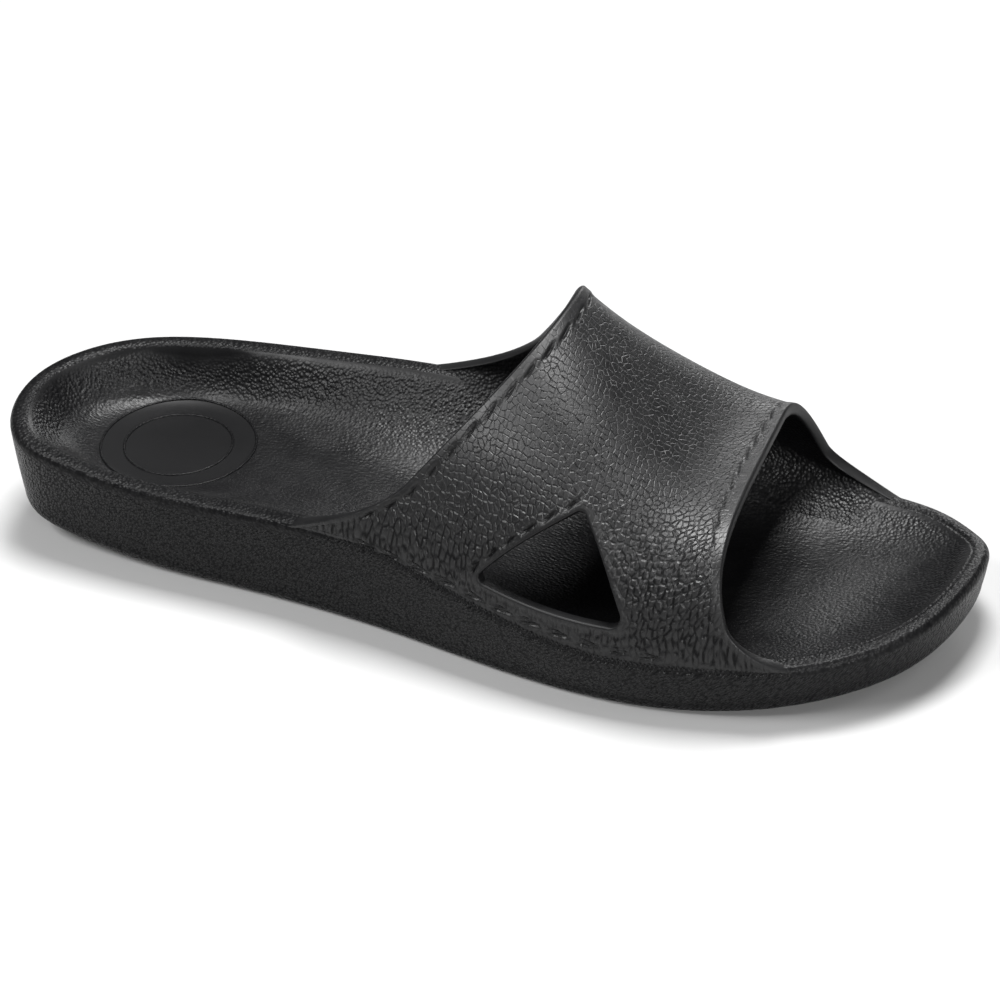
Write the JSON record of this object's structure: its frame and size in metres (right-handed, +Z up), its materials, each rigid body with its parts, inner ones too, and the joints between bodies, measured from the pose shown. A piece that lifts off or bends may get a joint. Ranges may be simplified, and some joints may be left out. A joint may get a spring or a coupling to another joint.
{
  "type": "pool slide sandal",
  "caption": "Pool slide sandal for the right foot, moulded whole: cupped footbed with a raised rim, broad arched upper over the instep, open toe and heel, triangular side cut-out.",
  "frame": {"origin": "on the ground under the middle of the sandal's box", "axes": "+X from heel to toe, +Y to the inner (big toe) side, +Z up"},
  "size_m": [0.28, 0.1006, 0.0895],
  "materials": {
    "foam": "black foamed EVA with a satin skin and a moulded leather grain"
  },
  "bodies": {
    "root": {"slide": "foam"}
  },
  "joints": []
}
